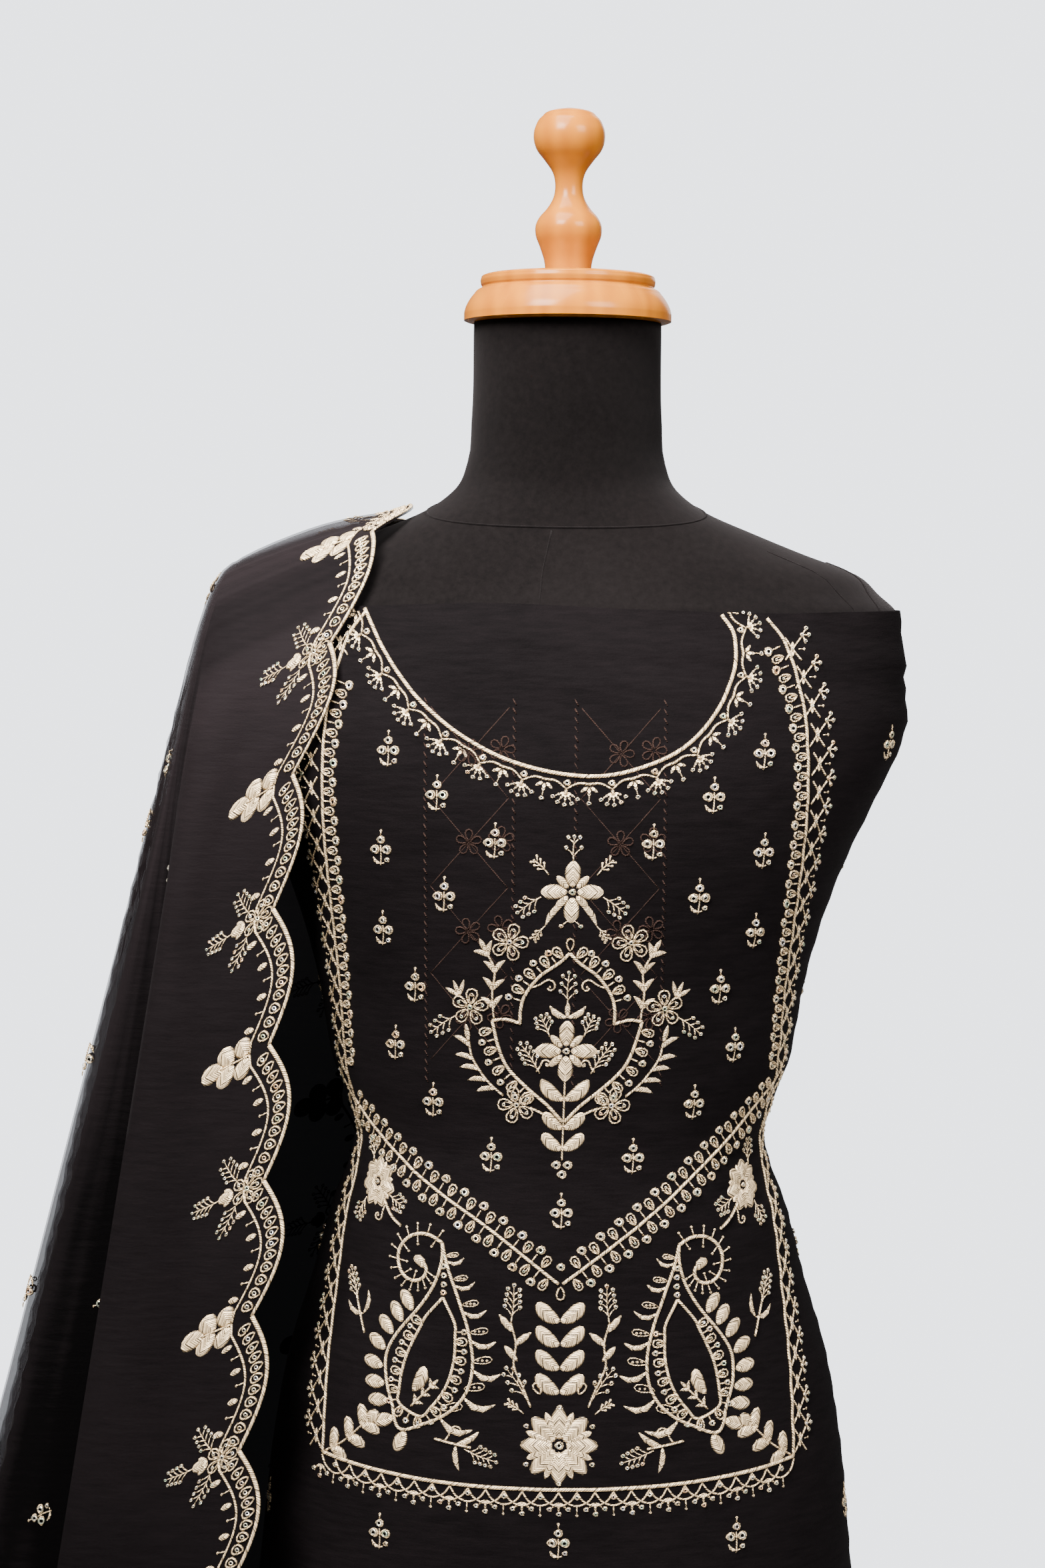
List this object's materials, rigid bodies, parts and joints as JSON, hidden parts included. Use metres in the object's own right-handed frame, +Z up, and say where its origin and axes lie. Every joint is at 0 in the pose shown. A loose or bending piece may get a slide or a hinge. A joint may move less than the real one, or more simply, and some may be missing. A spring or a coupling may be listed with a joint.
{
  "type": "salwar kameez suit on a limbless dress form",
  "caption": "Black embroidered kameez pinned round a limbless dress form with a turned wood finial, over a plain salwar, with a scalloped dupatta across one shoulder.",
  "frame": {"origin": "middle of the underside of the stand's base, on the dress form's axis", "axes": "+Z up along the dress form, -Y towards the front of the suit, -X towards the shoulder that carries the dupatta"},
  "size_m": [0.7086, 0.38, 1.6598],
  "materials": {
    "kameez_georgette": "matte",
    "dupatta_georgette": "matte",
    "salwar_crepe": "matte",
    "form_jersey": "matte",
    "varnished_wood": "gloss",
    "gold_thread": "satin",
    "sequin": "gloss"
  },
  "bodies": {
    "root": {"form_body": "form_jersey", "neck_cap": "varnished_wood", "finial": "varnished_wood", "stand_pole": "varnished_wood", "stand_base": "varnished_wood", "kameez_front": "kameez_georgette", "kameez_back": "kameez_georgette", "salwar_belt": "salwar_crepe", "salwar_seat": "salwar_crepe", "salwar_leg_left": "salwar_crepe", "salwar_leg_right": "salwar_crepe", "salwar_cuff_left": "salwar_crepe", "salwar_cuff_right": "salwar_crepe", "dupatta": "dupatta_georgette"}
  },
  "joints": []
}
